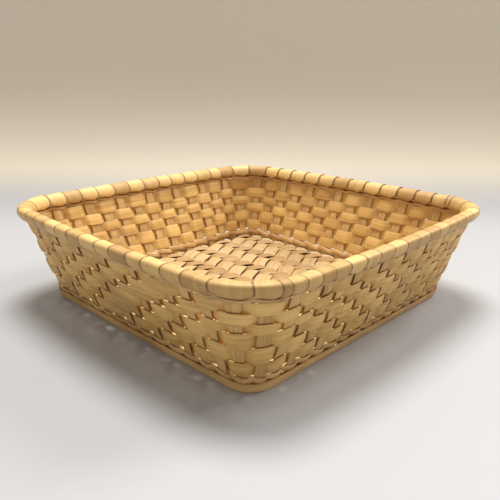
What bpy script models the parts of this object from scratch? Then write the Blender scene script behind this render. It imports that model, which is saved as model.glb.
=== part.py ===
"""Square berry basket of shaved wood splints, modelled splint by splint.

The walls flare outwards and are plain woven: six wide weavers pass over one stake and under the next. The
stakes are odd in number, so each row has one float over two stakes, one stake further along in each row
down. The bottom is a mat plaited on the bias. A twined row of two thin strands locks the stakes above the
mat and again below the rim. The rim is two hoops that clamp the stake tops, bound by one long splint that
winds round them. A flat band closes the foot. The stakes are fastened to the inner hoop and are one
object with it. The origin is under the middle of the bottom, +Z up.
"""

import math

import bmesh
import bpy
import numpy as np

MILLIMETRE = 0.001

# Overall sizes, in metres
RIM_SIDE = 0.300
RIM_CORNER_RADIUS = 0.034
BASKET_HEIGHT = 0.080
FOOT_SIDE = 0.260
WALL_FOOT_RADIUS = 0.0142

# Gap between splints that touch on the real basket
CLEARANCE = 0.0003

# Stakes, the upright splints of the walls
STAKE_WIDTH = 0.0105
STAKE_THICKNESS = 0.0008
STAKES_ON_RIGHT = 14
STAKES_ON_BACK = 15
STAKES_ON_LEFT = 15
STAKES_ON_FRONT = 17
STAKE_SEAT_IN_HOOP = 0.0003
STAKE_FOOT_LIFT = 0.0003
STAKE_TOP_MARGIN = 0.0004

# Weavers, the wide splints that run round the walls
WEAVER_THICKNESS = 0.0008
WEAVER_GAP = 0.0004
FIRST_LONG_FLOAT_SHARE = 0.70

# Where the rows' edges lie from the top of the weaving (1) to its foot (0): the rows are uneven by hand.
# One line for the middle of each side and one for the corner after it, anticlockwise from the right side.
ROW_EDGE_SHARES = (
    (1.00, 0.81, 0.65, 0.50, 0.35, 0.16, 0.0),
    (1.00, 0.80, 0.64, 0.50, 0.36, 0.17, 0.0),
    (1.00, 0.80, 0.64, 0.50, 0.36, 0.17, 0.0),
    (1.00, 0.82, 0.68, 0.54, 0.38, 0.20, 0.03),
    (1.00, 0.82, 0.70, 0.55, 0.39, 0.21, 0.05),
    (1.00, 0.86, 0.78, 0.61, 0.44, 0.29, 0.07),
    (1.00, 0.85, 0.74, 0.61, 0.47, 0.32, 0.12),
    (1.00, 0.83, 0.69, 0.54, 0.40, 0.22, 0.03),
)

# Twined strands
STRAND_THICKNESS = 0.0008
STRAND_HEIGHT = 0.0016
STRAND_SLANT = 0.0010

# Bottom mat: the step from one crossing to the next, along and across the long way of its diamonds
MAT_STEP_ALONG = 0.01675
MAT_STEP_ACROSS = 0.00835
MAT_SPLINT_WIDTH = 0.0100
MAT_SPLINT_THICKNESS = 0.0008
MAT_CORNER_CUT = 0.016
MAT_SEAT_GAP = 0.0003
MAT_SHORTEST_SPLINT = 0.012

# Foot band
BAND_HEIGHT = 0.012
BAND_THICKNESS = 0.0012
BAND_CORNER_TIGHTENING = 0.0030

# Rim: its hexagonal outline, the wound splint and the two hoops inside
RIM_WIDTH = 0.012
RIM_HEIGHT = 0.0115
RIM_FACE_HEIGHT = 0.0058
WRAP_NECK_WIDTH = 0.0032
WRAP_THICKNESS = 0.0007
WRAP_TURN_GAP = 0.0007
WRAP_LIFT = 0.0008
HOOP_OUTER_GAP = 0.0006
HOOP_TOP_MARGIN = 0.0002

# Points on each quarter turn of a hoop or band, and on a wrap turn across a corner
CORNER_SEGMENTS = 6
WRAP_CORNER_SEGMENTS = 3

# Colours of the splints: red, green, blue, alpha
STAKE_COLOUR = (0.70, 0.47, 0.20, 1.0)
WEAVER_COLOUR = (0.74, 0.51, 0.23, 1.0)
MAT_COLOUR = (0.82, 0.62, 0.34, 1.0)
TWINE_COLOUR = (0.72, 0.45, 0.17, 1.0)
RIM_COLOUR = (0.76, 0.53, 0.25, 1.0)
BAND_COLOUR = (0.72, 0.44, 0.16, 1.0)
SPLINT_ROUGHNESS = 0.55

# What follows from the sizes above
WEAVE_REACH = STAKE_THICKNESS / 2 + CLEARANCE + WEAVER_THICKNESS
WEAVER_OFFSET = (STAKE_THICKNESS + WEAVER_THICKNESS) / 2 + CLEARANCE
STRAND_OFFSET = (STAKE_THICKNESS + STRAND_THICKNESS) / 2 + CLEARANCE
STRAND_ROW_HEIGHT = STRAND_HEIGHT + 2 * STRAND_SLANT
FLOAT_HALF = STAKE_WIDTH / 2 + CLEARANCE
BAND_OFFSET = WEAVE_REACH + CLEARANCE
WALL_FOOT_HALF = FOOT_SIDE / 2 - BAND_OFFSET - BAND_THICKNESS
RIM_CENTRE_HEIGHT = BASKET_HEIGHT - RIM_HEIGHT / 2
RIM_LEAN_SHARE = RIM_FACE_HEIGHT / 2 / RIM_CENTRE_HEIGHT
WALL_RIM_HALF = ((RIM_SIDE - RIM_WIDTH) / 2 + WALL_FOOT_HALF * RIM_LEAN_SHARE) / (1 + RIM_LEAN_SHARE)
WALL_RIM_RADIUS = RIM_CORNER_RADIUS - RIM_WIDTH / 2
MAT_OFFSET = MAT_SPLINT_THICKNESS + CLEARANCE
MAT_MIDDLE = MAT_OFFSET + MAT_SPLINT_THICKNESS / 2
MAT_TOP = MAT_MIDDLE + MAT_OFFSET + MAT_SPLINT_THICKNESS / 2
BASE_TWINE_HEIGHT = MAT_TOP + CLEARANCE + STRAND_ROW_HEIGHT / 2
LOWEST_WEAVER_FOOT = BASE_TWINE_HEIGHT + STRAND_ROW_HEIGHT / 2 + CLEARANCE
RIM_TWINE_HEIGHT = BASKET_HEIGHT - RIM_HEIGHT - CLEARANCE - STRAND_ROW_HEIGHT / 2
HIGHEST_WEAVER_TOP = RIM_TWINE_HEIGHT - STRAND_ROW_HEIGHT / 2 - CLEARANCE
WEAVER_ROWS = len(ROW_EDGE_SHARES[0]) - 1
MAT_LONG_STEP = np.array((MAT_STEP_ALONG, MAT_STEP_ACROSS))
MAT_BACK_STEP = np.array((MAT_STEP_ALONG, -MAT_STEP_ACROSS))
STAKES_PER_SIDE = (STAKES_ON_RIGHT, STAKES_ON_BACK, STAKES_ON_LEFT, STAKES_ON_FRONT)
SIDES = len(STAKES_PER_SIDE)
NECK_CORNER = 5


def clear_scene():
    for item in list(bpy.data.objects):
        bpy.data.objects.remove(item, do_unlink=True)


def splint_material(name, colour):
    """Plain wood of one colour."""
    material = bpy.data.materials.new(name)
    material.use_nodes = True
    shader = material.node_tree.nodes["Principled BSDF"]
    shader.inputs["Base Color"].default_value = colour
    shader.inputs["Roughness"].default_value = SPLINT_ROUGHNESS
    shader.inputs["Metallic"].default_value = 0.0
    return material


def wall_size(height):
    """Half side and corner radius of the wall's middle surface at a height: both grow evenly upwards."""
    share = height / RIM_CENTRE_HEIGHT
    half = WALL_FOOT_HALF + (WALL_RIM_HALF - WALL_FOOT_HALF) * share
    radius = WALL_FOOT_RADIUS + (WALL_RIM_RADIUS - WALL_FOOT_RADIUS) * share
    return half, radius


def straight_share():
    """Share of a side, from its middle to the middle of a corner, that is straight, at half height."""
    half, radius = wall_size(RIM_CENTRE_HEIGHT / 2)
    arc = radius * math.pi / 4
    return (half - radius) / (half - radius + arc)


def wall_frame(side, share, height):
    """Point, level tangent and outward normal on the wall's middle surface.

    share runs from -1 to 1 along a side, from the middle of one corner to the middle of the next.
    """
    half, radius = wall_size(height)
    straight = straight_share()
    flat = half - radius
    reach = min(abs(share), straight) / straight
    angle = max(abs(share) - straight, 0.0) / (1 - straight) * math.pi / 4
    sign = math.copysign(1.0, share)
    point = np.array((flat + radius * math.cos(angle), sign * (flat * reach + radius * math.sin(angle))))
    normal = np.array((math.cos(angle), sign * math.sin(angle)))
    tangent = np.array((-normal[1], normal[0]))
    turn = side * math.pi / 2
    rotation = np.array(((math.cos(turn), -math.sin(turn)), (math.sin(turn), math.cos(turn))))
    return (
        np.append(rotation @ point, height),
        np.append(rotation @ tangent, 0.0),
        np.append(rotation @ normal, 0.0),
    )


def splint_frame(side, share, height):
    """The same as wall_frame for a flat splint as wide as a float, which stands on a chord of the wall."""
    half, radius = wall_size(height)
    reach = FLOAT_HALF / (half - radius + radius * math.pi / 4)
    behind = wall_frame(side, share - reach, height)[0]
    ahead = wall_frame(side, share + reach, height)[0]
    tangent = (ahead - behind) / np.linalg.norm(ahead - behind)
    normal = np.array((tangent[1], -tangent[0], 0.0))
    return (behind + ahead) / 2, tangent, normal


def stake_places():
    """Side and share of each stake, anticlockwise from above. No stake stands in the middle of a corner."""
    places = []
    for side, count in enumerate(STAKES_PER_SIDE):
        for index in range(count):
            places.append((side, (2 * index + 1) / count - 1))
    return places


def stake_is_hidden(index, long_float):
    """Whether a weaver passes outside a stake: it does so at every other one, and at two at long_float."""
    beyond = (index - long_float) % sum(STAKES_PER_SIDE)
    return beyond == 0 or beyond % 2 == 1


def long_float_of_row(row):
    """The first of the two stakes under a row's long float: on the left side, further back in each row down."""
    before = STAKES_ON_RIGHT + STAKES_ON_BACK
    return before + int(STAKES_ON_LEFT * FIRST_LONG_FLOAT_SHARE) - row


def row_edge(edge, side, share):
    """Height of one edge between rows at a place on the wall."""
    place = 2 * side + share
    before = math.floor(place)
    low, high = (ROW_EDGE_SHARES[corner % len(ROW_EDGE_SHARES)][edge] for corner in (before, before + 1))
    edge_share = low + (high - low) * (place - before)
    return LOWEST_WEAVER_FOOT + (HIGHEST_WEAVER_TOP - LOWEST_WEAVER_FOOT) * edge_share


def add_object(name, mesh_data, material):
    mesh = bpy.data.meshes.new(name)
    mesh_data.to_mesh(mesh)
    mesh_data.free()
    mesh.materials.append(material)
    item = bpy.data.objects.new(name, mesh)
    bpy.context.collection.objects.link(item)
    return item


def loft(mesh_data, rings, closed):
    """Adds one solid that passes through rings of equal point count, capped unless it closes on itself."""
    rows = []
    for ring in rings:
        rows.append([mesh_data.verts.new(point) for point in ring])
    count = len(rows)
    size = len(rows[0])
    spans = count if closed else count - 1
    faces = []
    for index in range(spans):
        here = rows[index]
        ahead = rows[(index + 1) % count]
        for corner in range(size):
            following = (corner + 1) % size
            faces.append(mesh_data.faces.new((here[corner], here[following], ahead[following], ahead[corner])))
    if not closed:
        faces.append(mesh_data.faces.new(rows[0]))
        faces.append(mesh_data.faces.new(rows[-1]))
    bmesh.ops.recalc_face_normals(mesh_data, faces=faces)


def wall_ring(side, share, along, low, high, inner, outer):
    """Four corners of a splint's section on the wall, along metres past a place on it."""
    ring = []
    for height, offset in ((low, inner), (low, outer), (high, outer), (high, inner)):
        point, tangent, normal = splint_frame(side, share, height)
        ring.append(point + tangent * along + normal * offset)
    return ring


def make_stakes(hoop, material):
    """Flat upright splints, whose tops are fastened to the outside of a hoop."""
    top = RIM_CENTRE_HEIGHT + hoop_half_height(0.0) - STAKE_TOP_MARGIN
    mesh_data = bmesh.new()
    for side, share in stake_places():
        rings = []
        for height in (STAKE_FOOT_LIFT, top):
            point, tangent, normal = splint_frame(side, share, height)
            across = tangent * STAKE_WIDTH / 2
            through = normal * STAKE_THICKNESS / 2
            inner, outer = point - through, point + through
            rings.append((inner - across, inner + across, outer + across, outer - across))
        loft(mesh_data, rings, closed=False)
    stakes = add_object("stakes_to_fasten", mesh_data, material)
    stakes.hide_render = True
    stakes.display_type = "WIRE"
    union = hoop.modifiers.new("Stakes", "BOOLEAN")
    union.operation = "UNION"
    union.solver = "EXACT"
    union.object = stakes


def make_weavers(material):
    """Hoops of wide splint. Each passes outside one stake and inside the next, and rows alternate."""
    for row in range(WEAVER_ROWS):
        rings = []
        for index, (side, share) in enumerate(stake_places()):
            high = row_edge(row, side, share) - WEAVER_GAP / 2
            low = row_edge(row + 1, side, share) + WEAVER_GAP / 2
            offset = WEAVER_OFFSET if stake_is_hidden(index, long_float_of_row(row)) else -WEAVER_OFFSET
            inner = offset - WEAVER_THICKNESS / 2
            outer = offset + WEAVER_THICKNESS / 2
            for along in (-FLOAT_HALF, FLOAT_HALF):
                rings.append(wall_ring(side, share, along, low, high, inner, outer))
        mesh_data = bmesh.new()
        loft(mesh_data, rings, closed=True)
        add_object("weaver_row_" + str(row + 1), mesh_data, material)


def make_twined_row(name, height, material):
    """Two thin strands that pass each stake on opposite sides and cross between stakes, turning alike."""
    for strand in range(2):
        rings = []
        for index, (side, share) in enumerate(stake_places()):
            outside = stake_is_hidden(index, STAKES_ON_RIGHT) == (strand == 0)
            offset = STRAND_OFFSET if outside else -STRAND_OFFSET
            rise = STRAND_SLANT if outside else -STRAND_SLANT
            for along, lift in ((-FLOAT_HALF, -rise), (FLOAT_HALF, rise)):
                point, tangent, normal = splint_frame(side, share, height + lift)
                centre = point + tangent * along + normal * offset
                through = normal * STRAND_THICKNESS / 2
                up = np.array((0.0, 0.0, STRAND_HEIGHT / 2))
                rings.append((centre - up - through, centre + through, centre + up - through))
        mesh_data = bmesh.new()
        loft(mesh_data, rings, closed=True)
        add_object(name + "_strand_" + str(strand + 1), mesh_data, material)


def rounded_path(half, radius):
    """Points of a rounded square, anticlockwise, as an array of x and y."""
    points = []
    for corner in range(SIDES):
        for step in range(CORNER_SEGMENTS + 1):
            angle = math.pi / 2 * (corner + step / CORNER_SEGMENTS)
            middle = math.pi / 2 * (corner + 1 / 2)
            centre = math.sqrt(2) * (half - radius)
            points.append(
                (
                    centre * math.cos(middle) + radius * math.cos(angle),
                    centre * math.sin(middle) + radius * math.sin(angle),
                )
            )
    return points


def ring_solid(name, section, tightening, material):
    """A hoop that follows the wall. The section is a list of outward offset and height."""
    outlines = []
    for offset, height in section:
        half, radius = wall_size(height)
        outlines.append([(x, y, height) for x, y in rounded_path(half + offset, radius + offset - tightening)])
    mesh_data = bmesh.new()
    loft(mesh_data, list(zip(*outlines)), closed=True)
    return add_object(name, mesh_data, material)


def make_foot_band(material):
    """A flat hoop outside the lowest weaver, standing on the table."""
    outer = BAND_OFFSET + BAND_THICKNESS
    section = ((BAND_OFFSET, 0.0), (outer, 0.0), (outer, BAND_HEIGHT), (BAND_OFFSET, BAND_HEIGHT))
    ring_solid("foot_band", section, BAND_CORNER_TIGHTENING, material)


def roof_slope():
    """Fall of the rim's top from its crest to its side, per metre outwards."""
    return (RIM_HEIGHT - RIM_FACE_HEIGHT) / RIM_WIDTH


def rim_half_height(offset, inset):
    """Half height of the rim's outline at an outward offset, for an outline that lies inset inside it."""
    steepness = math.hypot(1.0, roof_slope())
    return RIM_HEIGHT / 2 - roof_slope() * abs(offset) - inset * steepness


def hoop_half_height(offset):
    return rim_half_height(offset, WRAP_THICKNESS + WRAP_LIFT) - HOOP_TOP_MARGIN


def rim_hoop(name, near, far, material):
    """A hoop of the rim between two outward offsets. Its sides away from the stakes are lower."""
    section = []
    for offset, sign in ((near, -1), (far, -1), (far, 1), (near, 1)):
        section.append((offset, RIM_CENTRE_HEIGHT + sign * hoop_half_height(offset)))
    return ring_solid(name, section, 0.0, material)


def make_rim_hoops(material):
    """Two hoops with the stake tops between them. The stakes are fastened to the inner one."""
    reach = RIM_WIDTH / 2 - WRAP_THICKNESS - WRAP_LIFT
    rim_hoop("outer_rim_hoop", STAKE_THICKNESS / 2 + HOOP_OUTER_GAP, reach, material)
    return rim_hoop("stakes_and_inner_rim_hoop", STAKE_SEAT_IN_HOOP - STAKE_THICKNESS / 2, -reach, material)


def rim_outline(inset):
    """The six corners of the rim's section, as outward offset and height above its centre.

    The last one, NECK_CORNER, is the lowest.
    """
    side = RIM_WIDTH / 2 - inset
    face = rim_half_height(side, inset)
    crest = rim_half_height(0.0, inset)
    return ((side, -face), (side, face), (0.0, crest), (-side, face), (-side, -face), (0.0, -crest))


def ring_place(turn):
    """Side and share of a place on the rim, counted in stakes from the first one."""
    side = 0
    turn = turn % sum(STAKES_PER_SIDE)
    while turn + 1 / 2 > STAKES_PER_SIDE[side]:
        turn -= STAKES_PER_SIDE[side]
        side = (side + 1) % SIDES
    return side, (2 * turn + 1) / STAKES_PER_SIDE[side] - 1


def wrap_pitch(turn):
    """Length along the rim from one turn of the wound splint to the next."""
    half, radius = wall_size(RIM_CENTRE_HEIGHT)
    side, share = ring_place(turn)
    return 2 * (half - radius + radius * math.pi / 4) / STAKES_PER_SIDE[side]


def wrap_section(turn, corner, inset, steps):
    """Points across the wound splint where it passes one corner of the rim's section.

    It is drawn together at the lowest corner, where it passes between two stakes.
    """
    pitch = wrap_pitch(turn)
    width = WRAP_NECK_WIDTH if corner == NECK_CORNER else pitch - WRAP_TURN_GAP
    offset, height = rim_outline(inset)[corner]
    points = []
    for step in range(steps + 1):
        side, share = ring_place(turn + (step / steps - 1 / 2) * width / pitch)
        point, tangent, normal = wall_frame(side, share, RIM_CENTRE_HEIGHT + height)
        points.append(point + normal * offset)
    return points


def on_a_corner(turn):
    """Whether a wound splint that is centred here reaches a rounded corner."""
    shares = [ring_place(turn + shift)[1] for shift in (-1 / 2, 0.0, 1 / 2)]
    return max(abs(share) for share in shares) > straight_share()


def make_rim_wrap(material):
    """One splint wound round both hoops, once between each two stakes.

    Its two ends stop one face of the rim apart, under the inner hoop.
    """
    corners = len(rim_outline(0.0))
    mesh_data = bmesh.new()
    rows = []
    edges = []
    for index in range(sum(STAKES_PER_SIDE) * corners):
        turn = index / corners + 1 / 2
        corner = (index + NECK_CORNER) % corners
        steps = WRAP_CORNER_SEGMENTS if on_a_corner(turn) else 1
        outer = wrap_section(turn, corner, 0.0, steps)
        inner = wrap_section(turn, corner, WRAP_THICKNESS, steps)
        edges.append((outer[0], outer[-1]))
        rows.append(
            ([mesh_data.verts.new(point) for point in outer], [mesh_data.verts.new(point) for point in inner])
        )
    for (outer, inner), (next_outer, next_inner) in zip(rows[:-1], rows[1:]):
        for here, ahead in ((outer, next_outer), (inner, next_inner)):
            if len(here) == len(ahead):
                for step in range(len(here) - 1):
                    mesh_data.faces.new((here[step], here[step + 1], ahead[step + 1], ahead[step]))
            else:
                mesh_data.faces.new(here + ahead[::-1])
        for edge in (0, -1):
            mesh_data.faces.new((outer[edge], inner[edge], next_inner[edge], next_outer[edge]))
    for outer, inner in (rows[0], rows[-1]):
        mesh_data.faces.new(outer + inner[::-1])
    bmesh.ops.recalc_face_normals(mesh_data, faces=mesh_data.faces[:])
    add_object("rim_wrap", mesh_data, material)
    gaps = [np.linalg.norm(ahead[0] - here[1]) for here, ahead in zip(edges[:-corners], edges[corners:])]
    print("least gap between turns of the rim wrap, in mm:", round(min(gaps) / MILLIMETRE, 3))


def mat_limits():
    """Half side of the mat and the reach of its cut corners along x + y."""
    half, radius = wall_size(MAT_MIDDLE)
    side = half - STAKE_THICKNESS / 2 - MAT_SEAT_GAP
    return side, 2 * side - MAT_CORNER_CUT


def clip_line(start, step):
    """The range of steps for which start + range * step lies on the mat, or None."""
    side, diagonal = mat_limits()
    low, high = -math.inf, math.inf
    for direction, limit in (
        ((1.0, 0.0), side),
        ((0.0, 1.0), side),
        ((1.0, 1.0), diagonal),
        ((1.0, -1.0), diagonal),
    ):
        rate = np.dot(direction, step)
        place = np.dot(direction, start)
        bounds = sorted(((-limit - place) / rate, (limit - place) / rate))
        low = max(low, bounds[0])
        high = min(high, bounds[1])
    return (low, high) if high > low else None


def mat_crossing_sine():
    """Sine of the angle at which the mat's splints cross."""
    cross = MAT_LONG_STEP[0] * MAT_BACK_STEP[1] - MAT_LONG_STEP[1] * MAT_BACK_STEP[0]
    return abs(cross) / (np.linalg.norm(MAT_LONG_STEP) * np.linalg.norm(MAT_BACK_STEP))


def mat_half_share(extra):
    """Half width of a mat splint plus extra, measured along the other splints in steps."""
    return (MAT_SPLINT_WIDTH / 2 + extra) / mat_crossing_sine() / np.linalg.norm(MAT_LONG_STEP)


def mat_height(place, row, woven):
    """Height of a splint's middle at a place along it: over and under in turn, or level."""
    if not woven:
        return MAT_MIDDLE
    half = mat_half_share(CLEARANCE)
    nearest = math.floor(place + 1 / 2)
    beyond = place - nearest
    sign = 1 if (nearest + row) % 2 == 0 else -1
    if abs(beyond) <= half:
        return MAT_MIDDLE + sign * MAT_OFFSET
    return MAT_MIDDLE + sign * MAT_OFFSET * (1 / 2 - abs(beyond)) / (1 / 2 - half)


def mat_breaks(low, high, woven):
    """Places along a splint, between low and high, where its slope changes."""
    if not woven:
        return []
    half = mat_half_share(CLEARANCE)
    places = []
    for crossing in range(math.floor(low), math.ceil(high) + 1):
        places += [crossing - half, crossing + half]
    return [place for place in places if low < place < high]


def mat_splint_rings(row, step, row_step, woven):
    """Sections of one splint of the mat, or None if the row has no room for one.

    row_step leads to the next splint and step to the next crossing.
    """
    half = mat_half_share(0.0)
    ranges = [clip_line((row + side * half) * row_step, step) for side in (-1, 1)]
    if None in ranges:
        return None
    low = max(ranges[0][0], ranges[1][0])
    high = min(ranges[0][1], ranges[1][1])
    if (high - low) * np.linalg.norm(step) < MAT_SHORTEST_SPLINT:
        return None
    before = max(mat_breaks(low - 1, low, woven), default=-math.inf)
    after = min(mat_breaks(high, high + 1, woven), default=math.inf)
    stations = [(max(ranges[0][0], before), max(ranges[1][0], before))]
    stations += [(place, place) for place in mat_breaks(low, high, woven)]
    stations.append((min(ranges[0][1], after), min(ranges[1][1], after)))
    rings = []
    for places in stations:
        ring = []
        for edge, side, level in ((0, -1, -1), (1, 1, -1), (1, 1, 1), (0, -1, 1)):
            flat = (row + side * half) * row_step + places[edge] * step
            height = mat_height(places[edge], row, woven) + level * MAT_SPLINT_THICKNESS / 2
            ring.append((flat[0], flat[1], height))
        rings.append(ring)
    return rings


def make_mat(material):
    """The bottom: level splints one way, and splints the other way that pass over and under them."""
    rows = math.ceil(mat_limits()[0] / MAT_STEP_ACROSS)
    sets = {
        "base_splint_woven_": (MAT_LONG_STEP, MAT_BACK_STEP, True),
        "base_splint_level_": (MAT_BACK_STEP, MAT_LONG_STEP, False),
    }
    for name, (step, row_step, woven) in sets.items():
        number = 0
        for row in range(-rows, rows + 1):
            rings = mat_splint_rings(row, step, row_step, woven)
            if rings:
                number += 1
                mesh_data = bmesh.new()
                loft(mesh_data, rings, closed=False)
                add_object(name + str(number), mesh_data, material)


def main():
    clear_scene()
    stake_wood = splint_material("stake_wood", STAKE_COLOUR)
    weaver_wood = splint_material("weaver_wood", WEAVER_COLOUR)
    mat_wood = splint_material("mat_wood", MAT_COLOUR)
    twine_wood = splint_material("twine_wood", TWINE_COLOUR)
    rim_wood = splint_material("rim_wood", RIM_COLOUR)
    band_wood = splint_material("band_wood", BAND_COLOUR)
    make_mat(mat_wood)
    make_weavers(weaver_wood)
    make_twined_row("base_twine", BASE_TWINE_HEIGHT, twine_wood)
    make_twined_row("rim_twine", RIM_TWINE_HEIGHT, twine_wood)
    make_foot_band(band_wood)
    inner_hoop = make_rim_hoops(stake_wood)
    make_stakes(inner_hoop, stake_wood)
    make_rim_wrap(rim_wood)


main()
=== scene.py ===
"""Square berry basket of shaved wood splints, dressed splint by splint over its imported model."""

import math

import bpy
import numpy as np
from mathutils import Matrix, Vector


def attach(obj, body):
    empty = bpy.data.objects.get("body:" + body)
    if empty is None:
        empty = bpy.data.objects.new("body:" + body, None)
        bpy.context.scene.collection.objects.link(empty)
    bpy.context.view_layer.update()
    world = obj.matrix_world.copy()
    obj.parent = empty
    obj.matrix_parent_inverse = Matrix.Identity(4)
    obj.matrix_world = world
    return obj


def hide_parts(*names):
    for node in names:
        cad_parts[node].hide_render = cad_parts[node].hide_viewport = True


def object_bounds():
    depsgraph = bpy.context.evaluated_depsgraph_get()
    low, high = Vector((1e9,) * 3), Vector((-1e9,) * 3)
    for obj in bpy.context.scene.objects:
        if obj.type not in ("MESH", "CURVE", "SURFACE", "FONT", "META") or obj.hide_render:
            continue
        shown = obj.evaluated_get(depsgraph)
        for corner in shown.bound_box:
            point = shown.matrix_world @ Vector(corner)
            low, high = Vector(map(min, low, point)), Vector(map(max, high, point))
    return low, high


bl_info = {
    "name": "Splint Berry Basket",
    "version": (1, 0, 0),
    "blender": (4, 5, 0),
    "location": "3D View > Sidebar > Basket",
    "description": "Weaves the splints of a square berry basket over its packed model",
    "category": "Add Mesh",
}

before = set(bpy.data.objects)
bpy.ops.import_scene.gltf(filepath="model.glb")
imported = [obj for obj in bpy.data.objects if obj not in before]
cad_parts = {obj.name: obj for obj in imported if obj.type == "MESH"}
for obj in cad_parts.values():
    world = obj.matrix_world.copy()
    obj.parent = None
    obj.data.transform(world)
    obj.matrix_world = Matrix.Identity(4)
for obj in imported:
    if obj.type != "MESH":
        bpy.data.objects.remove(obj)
CAD_BOX = [list(corner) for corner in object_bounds()]
BOX_HALF = round(CAD_BOX[1][0], 5)
BOX_HEIGHT = round(CAD_BOX[1][2], 5)

# The rim's section with the wound splint on it, and what the wall's taper adds to its reach higher up
RIM_REACH = 0.0060
RIM_HALF_HEIGHT = 0.00575
RIM_TAPER_ROOM = 0.00063
RIM_SQUARENESS = 0.80
RIM_CENTRE_HEIGHT = BOX_HEIGHT - RIM_HALF_HEIGHT

# The wall, a rounded square that grows evenly from its foot to the rim's centre. At the rim it is as wide
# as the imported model. Towards the foot it draws in further, and its sides bow, as the photograph shows.
WALL_FOOT_HALF = 0.1154
WALL_RIM_HALF = BOX_HALF - RIM_REACH - RIM_TAPER_ROOM
WALL_FOOT_RADIUS = 0.0150
WALL_RIM_RADIUS = 0.034
WALL_BOW = 0.0055

# The stakes of the right, back, left and front side, and the stakes where the rows' long floats start
STAKES_PER_SIDE = np.array((14, 15, 15, 17))
STAKES = int(STAKES_PER_SIDE.sum())
SIDE_STARTS = np.concatenate(((0,), np.cumsum(STAKES_PER_SIDE)))
LAST_SIDE = len(STAKES_PER_SIDE) - 1
NEAR_CORNER = SIDE_STARTS[LAST_SIDE]
WEAVER_LONG_FLOAT = 39
TWINE_LONG_FLOAT = 14

# Heights of the foot band, of the weaving, and of the twined rows below and above it
BAND_HEIGHT = 0.0066
WEAVING_FOOT = 0.0128
WEAVING_TOP = 0.0660
BASE_TWINE_HEIGHT = 0.0092
RIM_TWINE_HEIGHT = 0.0676

# The edges of the rows as shares of the weaving's height, from its top down. The lines go round the
# basket from the middle of the right side, by corner and middle of a side in turn.
ROW_EDGE_SHARES = np.array(
    (
        (1.00, 0.82, 0.66, 0.51, 0.35, 0.16, 0.0),
        (1.00, 0.81, 0.65, 0.51, 0.36, 0.17, 0.0),
        (1.00, 0.81, 0.65, 0.51, 0.36, 0.17, 0.0),
        (1.00, 0.83, 0.68, 0.54, 0.37, 0.18, 0.0),
        (1.00, 0.85, 0.70, 0.57, 0.39, 0.18, 0.0),
        (1.00, 0.85, 0.71, 0.59, 0.39, 0.17, 0.0),
        (1.00, 0.84, 0.70, 0.57, 0.39, 0.22, 0.0),
        (1.00, 0.83, 0.67, 0.51, 0.34, 0.15, 0.0),
    )
)
EDGE_PLACES, ROW_EDGES = ROW_EDGE_SHARES.shape
ROWS = ROW_EDGES - 1

# A weaver: how far its middle wanders, its section tilts and it may pass the weaving's edges, the share
# of a room for which it lies level at a stake, and how its width and depth vary
WEAVER_WANDER = 0.0004
WEAVER_TILT = 0.00025
WEAVER_OVERRUN = 0.0006
WEAVER_LEVEL_SHARE = 0.29
WEAVER_SWELL_SHARE = 0.14
WEAVER_WIDTH_SHARE = 0.02
WEAVER_DEPTH_SHARE = 0.15
WEAVER_MEASURE_HEIGHT = 0.04

# A stake: its ends, where it stands still at the foot, how it stops giving way under the rim, its lean
# over its height, and how its width varies from stake to stake and along each
STAKE_FOOT = 0.0006
STAKE_TOP = 0.0775
STAKE_STILL_HEIGHT = 0.003
STAKE_FADE = 0.004
STAKE_LEAN = 0.0006
STAKE_LEAN_HEIGHT = 0.07
STAKE_WIDTH_SHARE = 0.09
STAKE_WAIST_SHARE = 0.08
STAKE_WAISTS_RATE = 500

# A twined strand: its swing, its half thickness and how much of it the edges keep, the share of a room
# for which it lies level, and the shares of its height by which it crosses the other and varies
STRAND_SWING = 0.0013
STRAND_HALF_THICKNESS = 0.0007
STRAND_EDGE_SHARE = 0.35
STRAND_LEVEL_SHARE = 0.10
STRAND_CROSS_SHARE = 0.20
STRAND_HEIGHT_SHARE = 0.10
# How much of the edges' browning and painted crevice shade the strands take
STRAND_WEAR_AND_SHADE_SHARE = 0.9

# The two hoops in the rim: the outward offsets of their faces, and their half height
INNER_HOOP = (-0.0005, -0.0042)
OUTER_HOOP = (0.0011, 0.0042)
HOOP_HALF_HEIGHT = 0.0040

# The wound splint, in shares of a stake's room: how far a turn moves on where it shows, its width over
# and under the rim, how it varies, the middles of the turns past the near corner, the one of them that lies
# over both its neighbours, and the rooms before and after the corner that these turns fill
WRAP_SLANT_SHARE = 0.14
WRAP_BROAD_SHARE = 1.22
WRAP_BROAD_VARIES_SHARE = 0.10
WRAP_NARROW_SHARE = 0.22
WRAP_WANDER_SHARE = 0.05
WRAP_CORNER_SHARES = np.array((-1.50, -0.45, 0.33, 0.73, 1.15, 1.85, 2.70))
WRAP_OVER_BOTH_SHARE = WRAP_CORNER_SHARES[1]
WRAP_CORNER_STOPS = (2, 3)

# The wound splint's change of width and place, from the top's middle in shares of a turn, the length of
# splint in a turn, the width of a room on the rim, and the dip of the edges of the turn at the corner
WRAP_NARROWS_AT_SHARE = 0.25
WRAP_NARROWS_OVER_SHARE = 0.20
WRAP_HIDES_AT_SHARE = 0.36
WRAP_HIDES_OVER_SHARE = 0.12
WRAP_TURN_LENGTH = 0.040
WRAP_ROOM_WIDTH = 0.018
WRAP_EDGE_DIP = 0.00025

# Painted shade on the turns round the near corner, whose front lies in shade: their middle and reach in
# rooms, the deeper tone painted on them and its share
CORNER_SHADE_MIDDLE = 0.5
CORNER_SHADE_REACH = 3
CORNER_SHADE_TONE = 1.6
CORNER_SHADE_SHARE = 0.4

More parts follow.
